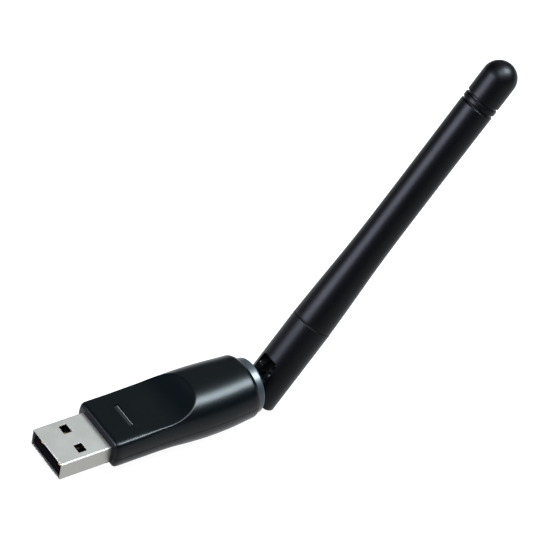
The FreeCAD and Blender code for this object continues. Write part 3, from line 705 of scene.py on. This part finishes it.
def makeRod():
    start, radius = rod["seam"] + 0.05, rod["tipRadius"]
    lower, upper = rod["grooves"]
    mouth, mouthEnd = rod["mouth"]
    split, bore, edge = upper - rod["grooveHalf"], rod["bore"], rod["topEdge"]
    outline = [(start, mouth)] + corner((start + edge, rod["baseRadius"] - 0.15), edge, 180, 90, 3)
    outline += smoothTaper()[1:] + groove(lower, radius)
    outline += [(split - 0.12, radius), (split - 0.03, radius - 0.04), (split, radius - 0.1)]
    outline += [(split, bore), (mouthEnd, bore), (mouthEnd, mouth), (start, mouth)]
    bm = turned([(hingeX + along, r) for along, r in outline])
    leanRod(bm)
    piece = newObject("antennaRod", bm, "antenna_plastic")
    settle(piece, 26)
    install(piece, "antenna", "antenna_plastic", "antenna_rod")

    # the cap's spigot, the upper groove's far side, and the dome
    top, floor = upper + rod["grooveHalf"], radius - rod["grooveDeep"]
    spigot, deep = rod["spigot"]
    outline = [(split - deep, 0), (split - deep, spigot), (split + 0.02, spigot), (split + 0.02, floor)]
    outline += [(upper, floor - 0.03), (top - 0.02, floor + 0.05)]
    outline += [(top, radius - 0.15), (top + 0.05, radius - 0.04), (top + 0.16, radius)]
    outline += corner((rod["tip"] - radius, 0), radius, 90, 5, 17) + [(rod["tip"], 0)]
    bm = turned([(hingeX + along, r) for along, r in outline])
    leanRod(bm)
    piece = newObject("antennaCap", bm, "antenna_plastic")
    settle(piece, 26)
    install(piece, "antenna", "antenna_plastic", "antenna_cap")


makeFork()
makeRod()


def makeCable():
    bm = bmesh.new()
    bm.from_mesh(nodes["coax_cable"].data)
    bmesh.ops.remove_doubles(bm, verts=bm.verts, dist=0.00001)
    bmesh.ops.scale(bm, vec=(1 / mm, 1 / mm, 1 / mm), verts=bm.verts)
    piece = newObject("coaxCable", bm, "cable_jacket")
    settle(piece, 50)
    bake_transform(piece)
    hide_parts("coax_cable")


makeCable()


camera = {
    "place": (-0.26321, -0.33389, 0.41635), "azimuth": 42.151, "elevation": 40.313, "roll": 12.285,
    "lens": 184.0,
}


def makeCamera():
    azimuth, elevation = math.radians(camera["azimuth"]), math.radians(camera["elevation"])
    forward = Vector((
        math.sin(azimuth) * math.cos(elevation), math.cos(azimuth) * math.cos(elevation), -math.sin(elevation)
    ))
    data = bpy.data.cameras.new("camera")
    data.lens = camera["lens"]
    data.sensor_width = 36
    made = bpy.data.objects.new("camera", data)
    made.rotation_mode = "QUATERNION"
    level = forward.to_track_quat("-Z", "Y")
    made.rotation_quaternion = level @ Matrix.Rotation(math.radians(camera["roll"]), 3, "Z").to_quaternion()
    made.location = camera["place"]
    bpy.context.scene.collection.objects.link(made)
    bpy.context.scene.camera = made


studio = {
    "target": (0.04, 0.0, 0.02),
    # name, direction from the object, distance, width, height, watts, colour
    "softboxes": [
        ("overhead", (0.50, -0.22, 0.84), 0.75, 0.26, 0.32, 28.0, (0.78, 0.92, 1.0)),
        ("left", (-0.90, 0.17, 0.46), 0.8, 0.50, 0.26, 21.0, (0.76, 0.80, 1.0)),
        ("farSide", (0.50, 0.62, 0.60), 1.1, 0.9, 0.7, 1.1, (1.0, 0.96, 0.88)),
        ("tip", (-0.04, -0.28, 0.96), 0.9, 0.60, 0.50, 22.0, (0.84, 0.93, 1.0)),
    ],
    "world": 0.012, "floor": 0.08, "floorGlow": 0.97, "floorSize": 3, "floorGap": 0.0005,
}


def makeStudio():
    target = Vector(studio["target"])
    for name, direction, distance, width, height, watts, colour in studio["softboxes"]:
        light = bpy.data.lights.new(name, "AREA")
        light.shape = "RECTANGLE"
        light.size = width
        light.size_y = height
        light.energy = watts
        light.color = colour
        lamp = bpy.data.objects.new(name, light)
        away = Vector(direction).normalized()
        lamp.location = target + away * distance
        lamp.rotation_mode = "QUATERNION"
        lamp.rotation_quaternion = (-away).to_track_quat("-Z", "Y")
        bpy.context.scene.collection.objects.link(lamp)

    bm = bmesh.new()
    bmesh.ops.create_grid(bm, x_segments=1, y_segments=1, size=studio["floorSize"])
    bmesh.ops.translate(bm, vec=(0, 0, cadBounds[0][2] - studio["floorGap"]), verts=bm.verts)
    mesh = bpy.data.meshes.new("floor")
    bm.to_mesh(mesh)
    bm.free()
    floor = bpy.data.objects.new("floor", mesh)
    bpy.context.scene.collection.objects.link(floor)
    white = studio["floor"]
    shader = Shader("floorPaper", (white, white, white), 0.9, Emission_Strength=studio["floorGlow"])
    shader.surface.inputs["Emission Color"].default_value = (1, 1, 1, 1)
    floor.data.materials.append(shader.material)

    world = bpy.data.worlds.new("studio")
    world.use_nodes = True
    background = next(n for n in world.node_tree.nodes if n.type == "BACKGROUND")
    background.inputs["Color"].default_value = (0.93, 0.96, 1.0, 1)
    background.inputs["Strength"].default_value = studio["world"]
    bpy.context.scene.world = world
    bpy.context.scene.view_settings.view_transform = "Standard"
    print("studio ready")


makeCamera()
makeStudio()
